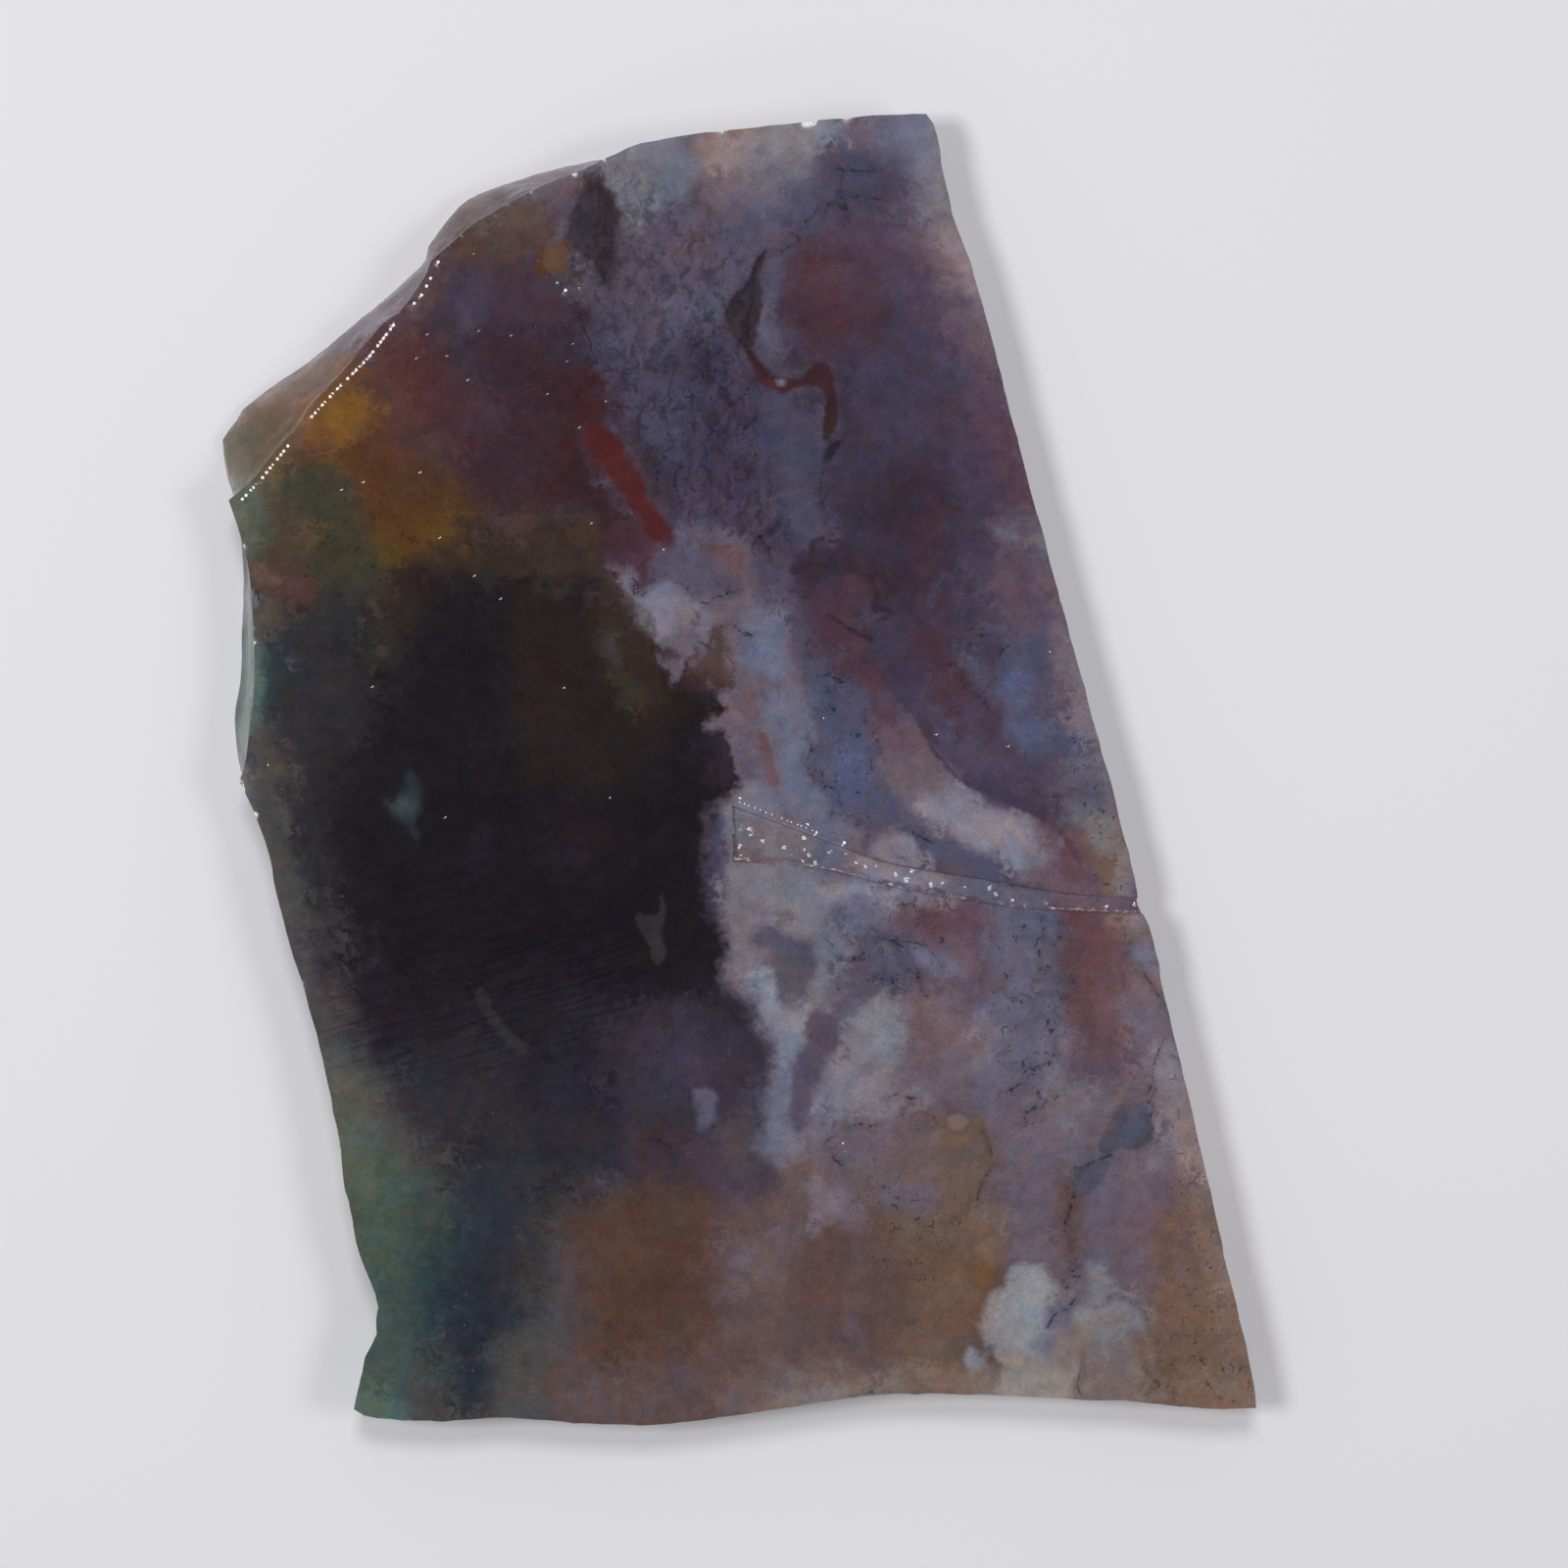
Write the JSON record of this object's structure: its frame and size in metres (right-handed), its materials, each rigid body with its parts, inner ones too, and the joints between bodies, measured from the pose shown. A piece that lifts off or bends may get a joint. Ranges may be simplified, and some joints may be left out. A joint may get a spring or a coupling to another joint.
{
  "type": "agate slab",
  "caption": "Flat slice of moss agate with sawn faces, a broken rim, a slanting break at an upper corner and a long flake scar across the front face.",
  "frame": {"origin": "middle of the slab's length and width, on its back face", "axes": "+Z out of the front face, away from the surface that the slab lies on; +Y towards the slab's narrow end, its top as pictured; +X to the right as the front face is seen"},
  "size_m": [0.0956, 0.1206, 0.006],
  "materials": {
    "agate": "wet-looking sawn surface"
  },
  "bodies": {
    "root": {"slab": "agate"}
  },
  "joints": []
}
